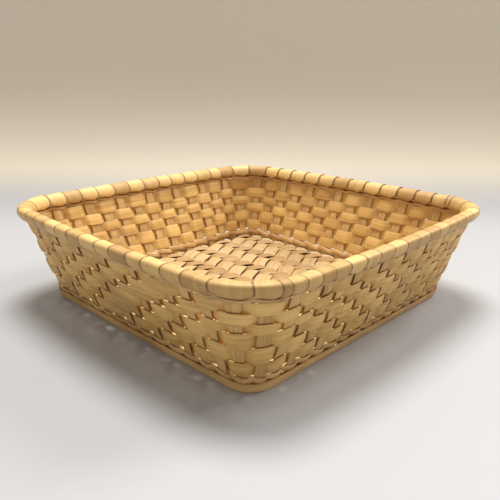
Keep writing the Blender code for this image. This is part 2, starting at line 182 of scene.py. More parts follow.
# The bottom mat: the step from crossing to crossing, the place of its middle crossing, its level, its half
# side, the reach that its cut corners leave, and the least height of its underside
MAT_STEP = np.array((0.0165, 0.0082))
MAT_SHIFT = np.array((-0.0097, 0.0047))
MAT_MIDDLE = 0.0048
MAT_SIDE = 0.1158
MAT_CORNER_CUT = 0.0120
MAT_DIAGONAL = 2 * MAT_SIDE - MAT_CORNER_CUT
MAT_CLEARANCE = 0.0001

# A splint of the mat: how it wanders, leans and bows, the shortest in crossings, the share by which the
# upper set stands up longer, the power that levels its floats, and how its width varies
MAT_WANDER = 0.0007
MAT_LEAN = 0.0009
MAT_BOW = 0.0010
MAT_SHORTEST = 0.7
MAT_UPPER_SHARE = 0.25
MAT_LEVEL_POWER = 0.6
MAT_WIDTH_SHARE = 0.08
MAT_NARROW_SHARE = 0.03
MAT_SWELL_SHARE = 0.05
MAT_UNEVEN_SHARE = 0.04
MAT_TONE_SHARE = 0.5

# The foot band: its offset from the wall, half thickness, the power that flattens it, and its wander
BAND_OFFSET = 0.0024
BAND_HALF_THICKNESS = 0.0006
BAND_FLATNESS_POWER = 0.25
BAND_WANDER = 0.00015
BAND_TOP_WANDER = 0.0002
BAND_MEASURE_HEIGHT = 0.006
BAND_TONE_SHARE = 0.2

# Steps of the meshes: to a stake's room, a stake, a turn of the wound splint and a crossing of the mat
WEAVE_STEPS = 14
BAND_STEPS = 8
HOOP_STEPS = 4
STAKE_STEPS = 64
WRAP_STEPS = 49
MAT_STEPS = 12

# Points across a splint, its thinning to the edges, the angle of a sharp edge, and a stake's length of grain
WEAVER_POINTS = 7
STAKE_POINTS = 5
STRAND_POINTS = 5
HOOP_POINTS = 5
WRAP_POINTS = 8
MAT_POINTS = 6
BAND_POINTS = 7
EDGE_THINNING_SHARE = 0.6
SHARP_EDGE = math.radians(48)
STAKE_GRAIN_STEP = 0.1

# Seeds of the pieces' unevenness, and a place far enough on to keep the mat's places over zero
WEAVER_SEEDS = (20, 40, 60, 80, 100)
STAKE_SEED = 7
STRAND_SEEDS = (200, 210)
WRAP_SEED = 11
MAT_SEEDS = (50, 90, 150)
MAT_FAR_PLACE = 50
BAND_SEEDS = (500, 505, 510)

# Scales of the wood's patterns along a splint, across it and between splints, and of its age in space
FINE_SCALE = (28.0, 2300.0, 7.3)
STREAK_SCALE = (14.0, 420.0, 3.7)
CLOUD_SCALE = (38.0, 150.0, 5.1)
FLECK_SCALE = (160.0, 900.0, 9.1)
AGE_SCALE = 21.0

# How much each pattern deepens the wood's colour, roughens it and lifts it, and the middle of each
FINE_DEPTH, STREAK_DEPTH, CLOUD_DEPTH, AGE_DEPTH, MIDDLE_DEPTH = 0.55, 1.15, 0.65, 0.5, 0.45
FINE_ROUGHNESS, CLOUD_ROUGHNESS, MIDDLE_ROUGHNESS = 0.30, 0.2, 0.5
FINE_RELIEF, STREAK_RELIEF, CLOUD_RELIEF = 0.7, 0.5, 0.8
RELIEF_HEIGHT = 0.0004
SHEEN_OF_WOOD = 0.35

# Edges darkened as browning and as painted shade of the crevices beside them, browned flecks, and aged
# patches: their colours, the ranges over which they come in, their shares
BROWN_AND_SHADE_SHARES = (0.42, 0.34, 0.26)
AGED_WOOD = (0.42, 0.33, 0.22)
EDGE_WEAR_AND_SHADE_WIDTH = 0.16
EDGE_WEAR_AND_SHADE_WANDER = 0.10
FLECK_RANGE = (0.70, 0.80)
FLECK_SHARE = 0.55
AGE_RANGE = (0.56, 0.80)
AGE_SHARE = 0.25

# The floor, in metres: its near edge, its depth to the sweep, the sweep's radius, the backdrop's height
# over it and the half width; its turn from the basket's sides, and how far it lies under the basket
FLOOR_NEAR = -1.6
FLOOR_DEPTH = 1.88
SWEEP_RADIUS = 0.16
BACKDROP_RISE = 0.5
FLOOR_HALF_WIDTH = 3
FLOOR_TURN = math.radians(46)
FLOOR_DROP = 0.0002
FLOOR_ROWS = 40
FLOOR_COLUMNS = 7
SWEEP_START_SHARE = 0.5
SWEEP_END_SHARE = 0.7
BACKDROP_COLOUR_HEIGHT = 0.05

# The light: the room's colour and strength, and each lamp's name, width, power in watts and place
ROOM_COLOUR = (1.0, 0.97, 0.93)
ROOM_STRENGTH = 0.50
LAMP_COLOUR = (1.0, 0.98, 0.95)
LAMP_AIM = (0, 0, 0.03)
LAMPS = (
    ("lamp_over", 1.0, 62.0, (0.32, 0.38, 2.1)),
    ("lamp_right", 0.8, 36.0, (1.60, -0.60, 1.45)),
)

# The camera: its turns, its turn round the basket, its place, and its focal length in pixels
CAMERA_YAW = 0.0036
CAMERA_PITCH = 0.3107
CAMERA_ROLL = 0.0044
CAMERA_ROUND_BASKET = 0.7924
CAMERA_PLACE = (-0.0005, -0.4535, 0.1838)
FOCAL_PIXELS = 562.9852
PHOTO_PIXELS = 500
SENSOR_WIDTH = 36.0


# Sizes and colours that a user sets


def colour_property(name, description, default):
    """A colour of the PropertyGroup, as linear red, green and blue."""
    return bpy.props.FloatVectorProperty(
        name=name, description=description, default=default, size=3, min=0.0, max=1.0, subtype="COLOR"
    )


def length_property(name, description, default, largest=0.05):
    """A length of the PropertyGroup, in metres."""
    return bpy.props.FloatProperty(
        name=name, description=description, default=default, min=0.0, max=largest, unit="LENGTH", precision=5
    )


class BasketSizes(bpy.types.PropertyGroup):
    """Sizes of the splints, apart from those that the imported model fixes."""

    splint_thickness: length_property("Splint thickness", "Thickness of a weaver or stake", 0.0007)
    stake_width: length_property("Stake width", "Width of an upright splint", 0.0090)
    weave_depth: length_property("Weave depth", "How far a weaver swings to each side of the stakes", 0.0013)
    stake_swing: length_property("Stake swing", "How far a stake gives way to a weaver", 0.00035)
    weaver_dome: length_property("Weaver dome", "Rise of a weaver's middle over its edges", 0.00035)
    mat_width: length_property("Mat splint width", "Width of a splint of the bottom", 0.0128)
    mat_depth: length_property("Mat depth", "How far a mat splint swings up and down", 0.0011)
    base_strand: length_property("Base strand height", "Height of a twined strand at the foot", 0.0042)
    rim_strand: length_property("Rim strand height", "Height of a twined strand under the rim", 0.0024)
    wrap_thickness: length_property("Wrap thickness", "Thickness of the splint wound round the rim", 0.00055)
    wrap_lap: length_property("Wrap lap", "How far a turn's free edge stands over the next turn", 0.0010)


class BasketColours(bpy.types.PropertyGroup):
    """Colours of the wood, as linear red, green and blue."""

    weaver_pale: colour_property("Weaver, pale", "Pale fibres of the weavers", (0.84, 0.545, 0.19))
    weaver_deep: colour_property("Weaver, deep", "Deep fibres of the weavers", (0.55, 0.31, 0.09))
    stake_pale: colour_property("Stake, pale", "Pale fibres of the stakes", (0.76, 0.50, 0.20))
    stake_deep: colour_property("Stake, deep", "Deep fibres of the stakes", (0.50, 0.29, 0.09))
    mat_pale: colour_property("Mat, pale", "Pale splints of the bottom", (0.53, 0.36, 0.17))
    mat_deep: colour_property("Mat, deep", "Deep fibres of the bottom", (0.34, 0.19, 0.065))
    rim_pale: colour_property("Rim, pale", "Pale fibres of the wound splint", (0.76, 0.50, 0.19))
    rim_deep: colour_property("Rim, deep", "Deep fibres of the wound splint", (0.46, 0.27, 0.09))
    twine_pale: colour_property("Twine, pale", "Pale fibres of the twined strands", (0.74, 0.48, 0.21))
    twine_deep: colour_property("Twine, deep", "Deep fibres of the twined strands", (0.45, 0.25, 0.09))
    band_pale: colour_property("Band, pale", "Pale fibres of the foot band", (0.85, 0.55, 0.22))
    band_deep: colour_property("Band, deep", "Deep fibres of the foot band", (0.50, 0.27, 0.08))
    floor: colour_property("Floor", "The pale floor", (0.39, 0.39, 0.40))
    backdrop: colour_property("Backdrop", "The pale backdrop", (0.74, 0.66, 0.53))


# Shapes as functions of two parameters


def ease(share):
    """An even rise from 0 to 1 that starts and ends gently: three squares less two cubes."""
    share = np.clip(share, 0.0, 1.0)
    return share * share * (3 - 2 * share)


def uneven(place, seed, count=STAKES):
    """Random numbers from -1 to 1, one for each unit of place, eased from each to the next and closed."""
    values = np.random.default_rng(seed).uniform(-1, 1, count)
    before = np.floor(place).astype(int)
    share = ease(place - before)
    return values[before % count] * (1 - share) + values[(before + 1) % count] * share


def side_share(place):
    """The side that holds each place, and the share from -1 to 1 of the way along that side."""
    place = np.mod(place, STAKES)
    side = np.clip(np.searchsorted(SIDE_STARTS, place, side="right") - 1, 0, LAST_SIDE)
    return side, 2 * (place - SIDE_STARTS[side]) / STAKES_PER_SIDE[side] - 1


def wall_square(height):
    """The wall's half side and corner radius at a height, growing in proportion to it, and its share."""
    rise = height / RIM_CENTRE_HEIGHT
    half = WALL_FOOT_HALF + (WALL_RIM_HALF - WALL_FOOT_HALF) * rise
    radius = WALL_FOOT_RADIUS + (WALL_RIM_RADIUS - WALL_FOOT_RADIUS) * rise
    return half, radius, rise


def wall_point(place, height, offset):
    """A point of the wall for each place, height and outward offset.

    place counts the stakes' rooms anticlockwise from the right side's first corner. Along a side the
    point runs evenly over the straight part and then turns evenly round an eighth of a circle at each
    end. The half side and the corner radius both grow in proportion to height, and so does the bow, which
    draws the corners in by the square of the share of the way to them.
    """
    place, height, offset = np.broadcast_arrays(place, height, offset)
    side, share = side_share(place)
    half, radius, rise = wall_square(height)
    half = half - WALL_BOW * rise * share**2
    middle_half, middle_radius = wall_square(RIM_CENTRE_HEIGHT / 2)[:2]
    straight = (middle_half - middle_radius) / (middle_half - middle_radius + middle_radius * math.pi / 4)
    reach = np.minimum(np.abs(share), straight) / straight
    angle = np.maximum(np.abs(share) - straight, 0.0) / (1 - straight) * math.pi / 4
    across = half - radius + (radius + offset) * np.cos(angle)
    along = np.sign(share) * ((half - radius) * reach + (radius + offset) * np.sin(angle))
    turn = side * math.pi / 2
    x = across * np.cos(turn) - along * np.sin(turn)
    y = across * np.sin(turn) + along * np.cos(turn)
    return np.stack((x, y, height), axis=-1)


def room_width(place, height):
    """Metres along the wall that one stake's room takes at a place and height."""
    side = side_share(place)[0]
    half, radius = wall_square(height)[:2]
    return 2 * (half - radius + radius * math.pi / 4) / STAKES_PER_SIDE[side]


def path_length(points):
    """Metres from the start to each point, for points along the first axis."""
    steps = np.linalg.norm(np.diff(points, axis=0), axis=-1)
    return np.concatenate(((0.0,), np.cumsum(steps)))


def places_round(steps):
    """Places once round the wall, so many to a stake's room, down the first axis."""
    return np.linspace(0, STAKES, STAKES * steps, endpoint=False)[:, None]


def length_round(place, height):
    """Metres round the wall to each place, measured at one height."""
    return path_length(wall_point(place[:, 0], height, 0.0))[:, None]


def splint_ring(count):
    """Share across a splint from -1 to 1 and side of it, 1 front or -1 back, going once round its section.

    The thickness share falls from 1 in the middle to under a half at the edges, as a shaved splint's
    does.
    """
    across = np.sin(np.linspace(-1, 1, count) * math.pi / 2)
    across = np.concatenate((across, across[::-1]))
    face = np.concatenate((np.ones(count), -np.ones(count)))
    thickness = 1 - EDGE_THINNING_SHARE * across**4
    return across, face, thickness


def ring_faces(rings, size, closed):
    """Four corners of each face between rings of equal size. Flat end faces close a shell that is open."""
    spans = rings if closed else rings - 1
    ring, corner = np.meshgrid(np.arange(spans), np.arange(size), indexing="ij")
    ahead, following = (ring + 1) % rings, (corner + 1) % size
    here, ahead = ring * size, ahead * size
    faces = np.stack((here + corner, here + following, ahead + following, ahead + corner), axis=-1)
    faces = faces.reshape(-1, 4)
    if closed:
        return faces
    half = size // 2
    step = np.arange(half - 1)
    cap = np.stack((step, size - 1 - step, size - 2 - step, step + 1), axis=-1)
    last = (rings - 1) * size
    return np.concatenate((faces, cap, last + cap[:, ::-1]))


class Shells:
    """Collects shells of rings into one mesh, with the fibre coordinates and tone of each splint."""

    def __init__(self):
        self.points, self.faces, self.fibre, self.across, self.tone = [], [], [], [], []
        self.count = 0

    def add(self, points, along, across_metres, across, tone, closed=False, flip=False):
        """points holds rings of corners; along and across_metres are the corners' fibre coordinates."""
        rings, size = points.shape[:2]
        faces = ring_faces(rings, size, closed) + self.count
        self.faces.append(faces[:, ::-1] if flip else faces)
        self.points.append(points.reshape(-1, 3))
        number = np.full((rings, size), float(len(self.points)))
        along, across_metres = np.broadcast_arrays(along, across_metres)
        self.fibre.append(np.stack((along, across_metres, number), axis=-1).reshape(-1, 3))
        self.across.append(np.broadcast_to(across, (rings, size)).reshape(-1))
        self.tone.append(np.broadcast_to(tone, (rings, size)).reshape(-1))
        self.count += rings * size

    def build(self, name, material, nodes):
        """The finished piece: at the origin, riding on the root body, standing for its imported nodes."""
        points = np.concatenate(self.points)
        faces = np.concatenate(self.faces)
        mesh = bpy.data.meshes.new(name)
        mesh.vertices.add(len(points))
        mesh.vertices.foreach_set("co", points.astype(np.float32).ravel())
        mesh.loops.add(faces.size)
        mesh.loops.foreach_set("vertex_index", faces.astype(np.int32).ravel())
        mesh.polygons.add(len(faces))
        mesh.polygons.foreach_set("loop_start", np.arange(0, faces.size, 4, dtype=np.int32))
        mesh.update(calc_edges=True)
        mesh.validate()
        for layer, kind, field, values in (
            ("fibre", "FLOAT_VECTOR", "vector", self.fibre),
            ("across", "FLOAT", "value", self.across),
            ("tone", "FLOAT", "value", self.tone),
        ):
            attribute = mesh.attributes.new(layer, kind, "POINT")
            attribute.data.foreach_set(field, np.concatenate(values).astype(np.float32).ravel())
        mesh.polygons.foreach_set("use_smooth", np.ones(len(mesh.polygons), bool))
        mesh.set_sharp_from_angle(angle=SHARP_EDGE)
        mesh.materials.append(material)
        piece = bpy.data.objects.new(name, mesh)
        bpy.context.scene.collection.objects.link(piece)
        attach(piece, "root")
        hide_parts(*nodes)
        return piece


# Materials


class Wire:
    """A socket of a shader node that can be added, subtracted and multiplied like a number."""

    def __init__(self, tree, socket):
        self.tree = tree
        self.socket = socket

    def maths(self, operation, *values):
        return node(self.tree, "ShaderNodeMath", {"operation": operation}, dict(enumerate(values)))

    def __add__(self, other):
        return self.maths("ADD", self, other)

    def __radd__(self, other):
        return self.maths("ADD", other, self)

    def __sub__(self, other):
        return self.maths("SUBTRACT", self, other)

    def __rsub__(self, other):
        return self.maths("SUBTRACT", other, self)

    def __mul__(self, other):
        return self.maths("MULTIPLY", self, other)

    def __rmul__(self, other):
        return self.maths("MULTIPLY", other, self)

    def __abs__(self):
        return self.maths("ABSOLUTE", self)

    def between(self, low, high):
        """0 at low and under, 1 at high and over, eased between."""
        return node(
            self.tree,
            "ShaderNodeMapRange",
            {"interpolation_type": "SMOOTHSTEP"},
            {"Value": self, "From Min": low, "From Max": high},
        )


def node(tree, kind, settings, values, output=0):
    """Adds one node: its settings first, then each socket's value or link. Returns one of its outputs."""
    made = tree.nodes.new(kind)
    for name, value in settings.items():
        setattr(made, name, value)
    for name, value in values.items():
        if isinstance(value, Wire):
            tree.links.new(value.socket, made.inputs[name])
        else:
            made.inputs[name].default_value = value
    return Wire(tree, made.outputs[output])


def mix_colour(tree, factor, first, second):
    """The two colours mixed by a factor. A Mix node has sockets of one name for each kind of value."""
    factor_in, first_in, second_in, colour_out = 0, 6, 7, 2
    values = {factor_in: factor, first_in: first, second_in: second}
    return node(tree, "ShaderNodeMix", {"data_type": "RGBA"}, values, colour_out)


def opaque(colour):
    """The colour with a full alpha."""
    return (*colour, 1.0)


def stretched(tree, vector, scale):
    """The vector times a scale for each axis."""
    return node(tree, "ShaderNodeVectorMath", {"operation": "MULTIPLY"}, {0: vector, 1: scale})


def noise(tree, vector, scale=1.0, detail=2.0, roughness=0.55):
    """A noise of a vector, from 0 to 1."""
    return node(
        tree,
        "ShaderNodeTexNoise",
        {"noise_dimensions": "3D"},
        {"Vector": vector, "Scale": scale, "Detail": detail, "Roughness": roughness},
    )


def splint_attribute(tree, name, output="Fac"):
    """A mesh attribute of the splints."""
    return node(tree, "ShaderNodeAttribute", {"attribute_name": name}, {}, output)


def splint_wood(name, pale, deep, tone_share=0.5, edge_wear_and_shade=0.45, bump=0.35, edge_wear_and_shade_start=0.86, grain=1.0):
    """Shaved wood: fine fibre lines along each splint, broad streaks, its own tone, edges darkened as
    browning and as painted crevice shade, and age.

    The fibres follow the "fibre" attribute, which holds metres along and across the splint and its
    number. The depth of the wood's colour is a sum of the patterns, each less its middle and times its
    share.
    """
    material = bpy.data.materials.new(name)
    material.use_nodes = True
    tree = material.node_tree
    shader = tree.nodes["Principled BSDF"]
    fibre = splint_attribute(tree, "fibre", "Vector")
    tone = splint_attribute(tree, "tone")
    across = splint_attribute(tree, "across")
    place = node(tree, "ShaderNodeTexCoord", {}, {}, "Object")
    fine = noise(tree, stretched(tree, fibre, FINE_SCALE), detail=3.0, roughness=0.6)
    streak = noise(tree, stretched(tree, fibre, STREAK_SCALE))
    cloud = noise(tree, stretched(tree, fibre, CLOUD_SCALE))
    age = noise(tree, place, AGE_SCALE, detail=3.0)
    fleck = noise(tree, stretched(tree, fibre, FLECK_SCALE))
    depth = (
        (fine - 0.5) * (FINE_DEPTH * grain)
        + (streak - 0.5) * (STREAK_DEPTH * grain)
        + (cloud - 0.5) * CLOUD_DEPTH
        + (tone - 0.5) * tone_share
        + (age - 0.5) * AGE_DEPTH
        + MIDDLE_DEPTH
    )
    colour = mix_colour(tree, depth.between(0.0, 1.0), opaque(pale), opaque(deep))
    brown_and_shade = opaque(part * share for part, share in zip(deep, BROWN_AND_SHADE_SHARES))
    # Painted shade: the edges darken partly as browning and partly to stand in for the shade in the crevices
    # between splints
    edge = (abs(across) + (cloud - 0.5) * EDGE_WEAR_AND_SHADE_WANDER).between(edge_wear_and_shade_start, edge_wear_and_shade_start + EDGE_WEAR_AND_SHADE_WIDTH)
    colour = mix_colour(tree, edge * edge_wear_and_shade, colour, brown_and_shade)
    colour = mix_colour(tree, fleck.between(*FLECK_RANGE) * FLECK_SHARE, colour, brown_and_shade)
    colour = mix_colour(tree, age.between(*AGE_RANGE) * AGE_SHARE, colour, opaque(AGED_WOOD))
    rough = MIDDLE_ROUGHNESS + (fine - 0.5) * FINE_ROUGHNESS + (cloud - 0.5) * CLOUD_ROUGHNESS
    relief = fine * FINE_RELIEF + streak * STREAK_RELIEF + cloud * CLOUD_RELIEF
    heights = {"Strength": bump, "Distance": RELIEF_HEIGHT, "Height": relief}
    bumped = node(tree, "ShaderNodeBump", {}, heights, "Normal")
    for socket, wire in (("Base Color", colour), ("Roughness", rough), ("Normal", bumped)):
        tree.links.new(wire.socket, shader.inputs[socket])
    shader.inputs["Specular IOR Level"].default_value = SHEEN_OF_WOOD
    return material


def plain_surface(name, colour, roughness):
    """An even, dull surface."""
    material = bpy.data.materials.new(name)
    material.use_nodes = True
    shader = material.node_tree.nodes["Principled BSDF"]
    shader.inputs["Base Color"].default_value = opaque(colour)
    shader.inputs["Roughness"].default_value = roughness
    return material


# The weave


def outside_signs(long_float):
    """1 for each stake passed outside and -1 for each passed inside, in turn, but for one long float."""
    beyond = (np.arange(STAKES) - long_float) % STAKES
    return np.where((beyond == 0) | (beyond % 2 == 1), 1.0, -1.0)


def row_signs(row):
    """The signs of one weaver row: each row's long float lies one stake before the row's above."""
    return outside_signs((WEAVER_LONG_FLOAT - row) % STAKES)


def swing(place, signs, level_share):
    """The side a weaver is on, from -1 to 1: level for a share of a room at each stake, eased between."""
    beyond = place - 0.5
    before = np.floor(beyond).astype(int)
    share = ease((beyond - before - level_share) / (1 - 2 * level_share))
    return signs[before % STAKES] * (1 - share) + signs[(before + 1) % STAKES] * share


def row_edge(edge, place):
    """Height of a row's edge, drawn straight between its shares at the sides' middles and corners."""
    side, share = side_share(place)
    turn = 2 * side + share
    before = np.floor(turn).astype(int)
    part = turn - before
    shares = ROW_EDGE_SHARES[:, edge]
    share = shares[before % EDGE_PLACES] * (1 - part) + shares[(before + 1) % EDGE_PLACES] * part
    return WEAVING_FOOT + (WEAVING_TOP - WEAVING_FOOT) * share


def weaver_shell(row, sizes):
    """One weaver: its section is carried round the wall as it swings outside and inside the stakes.

    offset = depth * swing + dome * swing * (1 - across squared) + tilt * across + half the thickness on
    each face. The width grows a little on each float and shrinks where it passes between two stakes.
    """
    width_seed, middle_seed, depth_seed, tilt_seed, tone_seed = (seed + row for seed in WEAVER_SEEDS)
    place = places_round(WEAVE_STEPS)
    across, face, thickness = splint_ring(WEAVER_POINTS)
    side = swing(place, row_signs(row), WEAVER_LEVEL_SHARE)
    top, foot = row_edge(row, place), row_edge(row + 1, place)
    swell = 1 + WEAVER_SWELL_SHARE * side**2 + WEAVER_WIDTH_SHARE * uneven(place, width_seed)
    half = (top - foot) / 2 * swell
    middle = (top + foot) / 2 + WEAVER_WANDER * uneven(place, middle_seed)
    depth = sizes.weave_depth * (1 + WEAVER_DEPTH_SHARE * uneven(place, depth_seed))
    tilt = WEAVER_TILT * uneven(place + 0.5, tilt_seed)
    offset = (
        depth * side
        + sizes.weaver_dome * side * (1 - across**2)
        + tilt * across
        + face * thickness * sizes.splint_thickness / 2
    )
    height = np.clip(middle + half * across, WEAVING_FOOT - WEAVER_OVERRUN, WEAVING_TOP + WEAVER_OVERRUN)
    points = wall_point(place, height, offset)
    tone = 0.5 + 0.5 * uneven(place * 0.5, tone_seed)
    return points, length_round(place, WEAVER_MEASURE_HEIGHT), half * across * face, across, tone


def make_weavers(sizes, material):
    """One piece for each weaver row, from the top down."""
    for row in range(ROWS):
        shells = Shells()
        points, length, wide, across, tone = weaver_shell(row, sizes)
        shells.add(points, length + row, wide, across, tone, closed=True)
        name = "weaver_row_" + str(row + 1)
        shells.build(name + "_splint", material, (name,))


def stake_side(index, height):
    """The side to which a stake gives way at each height: away from each weaver, eased between them."""
    place = index + 0.5
    levels, sides = [STAKE_STILL_HEIGHT], [0.0]
    for row in range(ROWS):
        levels.append(float(row_edge(row, place) + row_edge(row + 1, place)) / 2)
        sides.append(-row_signs(row)[index])
    order = np.argsort(levels)
    side = np.interp(height, np.array(levels)[order], np.array(sides)[order])
    return side * (1.5 - 0.5 * side**2)


def make_stakes(sizes, material):
    """The upright splints. Each gives way to every weaver, waves a little in width and ends in the rim.

    offset = swing * side, faded out under the rim, + half the thickness on each face.
    """
    shells = Shells()
    across, face, thickness = splint_ring(STAKE_POINTS)
    height = np.linspace(STAKE_FOOT, STAKE_TOP, STAKE_STEPS)[:, None]
    random = np.random.default_rng(STAKE_SEED)
    for index in range(STAKES):
        place = index + 0.5
        fade = ease((WEAVING_TOP - height) / STAKE_FADE)
        half = sizes.stake_width / 2 * (1 + random.uniform(-STAKE_WIDTH_SHARE, STAKE_WIDTH_SHARE))
        lean = random.uniform(-STAKE_LEAN, STAKE_LEAN) * height / STAKE_LEAN_HEIGHT
        waist = 1 - STAKE_WAIST_SHARE + STAKE_WAIST_SHARE * np.cos(height * STAKE_WAISTS_RATE + index)
        where = place + (half * across * waist + lean) / room_width(place, height)
        swung = sizes.stake_swing * stake_side(index, height) * fade
        offset = swung + face * thickness * sizes.splint_thickness / 2
        points = wall_point(where, height, offset)
        length = height + index * STAKE_GRAIN_STEP
        shells.add(points, length, half * across * face, across, random.uniform(0, 1))
    shells.build("wall_stakes", material, ("stakes_and_inner_rim_hoop",))


def make_strands(name, middle, tall, material):
    """Two thin round-edged strands that swing to opposite sides of each stake and cross between stakes.

    offset = swing * side + half the thickness on each face, which falls off as a circle does to the
    edges. The height moves by a share of the difference between the sides half a room ahead and here.
    """
    place = places_round(WEAVE_STEPS)
    across, face, thickness = splint_ring(STRAND_POINTS)
    height_seed, tone_seed = STRAND_SEEDS
    for strand, sign in enumerate((1, -1)):
        shells = Shells()
        signs = outside_signs(TWINE_LONG_FLOAT) * sign
        side = swing(place, signs, STRAND_LEVEL_SHARE)
        ahead = swing(place + 0.5, signs, STRAND_LEVEL_SHARE)
        half = tall / 2 * (1 + STRAND_HEIGHT_SHARE * uneven(place, height_seed + strand))
        height = middle + STRAND_CROSS_SHARE * tall * (ahead - side) + half * across
        bulge = STRAND_EDGE_SHARE + (1 - STRAND_EDGE_SHARE) * np.sqrt(np.maximum(1 - across**2, 0))
        offset = STRAND_SWING * side + face * STRAND_HALF_THICKNESS * bulge
        points = wall_point(place, height, offset)
        length = length_round(place, middle)
        tone = 0.5 + 0.5 * uneven(place, tone_seed + strand)
        shells.add(points, length, half * across * face, across * STRAND_WEAR_AND_SHADE_SHARE, tone, closed=True)
        node_name = name + "_strand_" + str(strand + 1)
        shells.build(node_name + "_splint", material, (node_name,))


# The rim


def rim_outline(turn):
    """The rim's section as outward offset and height over its centre, for shares of a turn.

    It starts under the rim, rises on the inside, passes over the top and comes down outside. It is an
    oval with flatter sides: sine and cosine raised to a power below one.
    """
    angle = -math.pi / 2 - turn * 2 * math.pi
    x = np.sign(np.cos(angle)) * np.abs(np.cos(angle)) ** RIM_SQUARENESS
    y = np.sign(np.sin(angle)) * np.abs(np.sin(angle)) ** RIM_SQUARENESS
    return x, y


def wrap_middles():
    """Middle of each turn of the wound splint: one between two stakes, and two more at the near corner."""
    middles = np.arange(STAKES) + 1.5
    before, after = WRAP_CORNER_STOPS
    first, last = middles[middles < NEAR_CORNER - before], middles[middles > NEAR_CORNER + after]
    return np.concatenate((first, NEAR_CORNER + WRAP_CORNER_SHARES, last))


def make_wrap(sizes, material):
    """One wide splint wound round the rim, a turn to a stake's room and closer turns at the near corner.

    Each turn narrows to pass between two stakes under the rim, widens over it until it laps the turn
    beside it, and moves on by one room for each time round, most of it where it is hidden. Its free edge
    points away from the near corner, and the turn at the corner lies over both its neighbours.
    """
    shells = Shells()
    across, face, thickness = splint_ring(WRAP_POINTS)
    turn = np.linspace(0, 1, WRAP_STEPS)[:, None]
    from_top = np.abs(turn - 0.5)
    hidden = ease((from_top - WRAP_HIDES_AT_SHARE) / WRAP_HIDES_OVER_SHARE)
    narrowing = ease((from_top - WRAP_NARROWS_AT_SHARE) / WRAP_NARROWS_OVER_SHARE)
    x, y = rim_outline(turn)
    reach = RIM_REACH - sizes.wrap_thickness - sizes.wrap_lap
    rise = RIM_HALF_HEIGHT - sizes.wrap_thickness - sizes.wrap_lap
    random = np.random.default_rng(WRAP_SEED)
    middles = wrap_middles()
    rooms = (np.roll(middles, -1) - np.roll(middles, 1)) % STAKES / 2
    for index, (middle, room) in enumerate(zip(middles, rooms)):
        past_corner = middle - NEAR_CORNER
        centre = middle + (turn - 0.5) * (WRAP_SLANT_SHARE * (1 - hidden) + hidden)
        centre = centre + WRAP_WANDER_SHARE * room * random.uniform(-1, 1)
        broad = room / 2 * (WRAP_BROAD_SHARE + WRAP_BROAD_VARIES_SHARE * random.uniform(-1, 1))
        half = broad + (room / 2 * WRAP_NARROW_SHARE - broad) * narrowing
        over = 0.0 if math.isclose(past_corner, WRAP_OVER_BOTH_SHARE) else math.copysign(1.0, past_corner)
        lap = sizes.wrap_lap * (0.5 + 0.5 * over * across)
        swell = lap + (1 + face * thickness) * sizes.wrap_thickness / 2
        swell = swell - WRAP_EDGE_DIP * across**2 * (1 - abs(over))
        height = RIM_CENTRE_HEIGHT + y * (rise + swell)
        points = wall_point(centre + half * across, height, x * (reach + swell))
        length = (turn + index) * WRAP_TURN_LENGTH
        # Painted shade: turns near the near corner get a deeper tone that stands in for the shade on the
        # rim's front there
        near = max(0.0, 1 - abs(past_corner - CORNER_SHADE_MIDDLE) / CORNER_SHADE_REACH)
        corner = CORNER_SHADE_SHARE * near
        tone = random.uniform(0, 1) * (1 - corner) + CORNER_SHADE_TONE * corner
        shells.add(points, length, half * WRAP_ROOM_WIDTH * across * face, across, tone, flip=True)
    shells.build("rim_wrap_splint", material, ("rim_wrap",))


def make_hoop(name, offsets, node_name, material):
    """A flat hoop of the rim between two outward offsets, with rounded edges, carried round the wall."""
    shells = Shells()
    place = places_round(HOOP_STEPS)
    across, face, thickness = splint_ring(HOOP_POINTS)
    near, far = offsets
    offset = (near + far) / 2 + face * thickness * abs(far - near) / 2
    points = wall_point(place, RIM_CENTRE_HEIGHT + HOOP_HALF_HEIGHT * across, offset)
    length = length_round(place, RIM_CENTRE_HEIGHT)
    shells.add(points, length, HOOP_HALF_HEIGHT * across * face, across, 0.5, closed=True)
    shells.build(name, material, (node_name,))


# The bottom and the foot band


def clip_to_mat(start, step):
    """Lowest and highest multiple of step from start that stays on the mat, a square with cut corners."""
    low, high = -np.inf, np.inf
    for direction, limit in (
        (np.array((1.0, 0.0)), MAT_SIDE),
        (np.array((0.0, 1.0)), MAT_SIDE),
        (np.array((1.0, 1.0)), MAT_DIAGONAL),
        (np.array((1.0, -1.0)), MAT_DIAGONAL),
    ):
        rate, place = direction @ step, direction @ start
        one, two = (-limit - place) / rate, (limit - place) / rate
        low, high = max(low, min(one, two)), min(high, max(one, two))
    return low, high


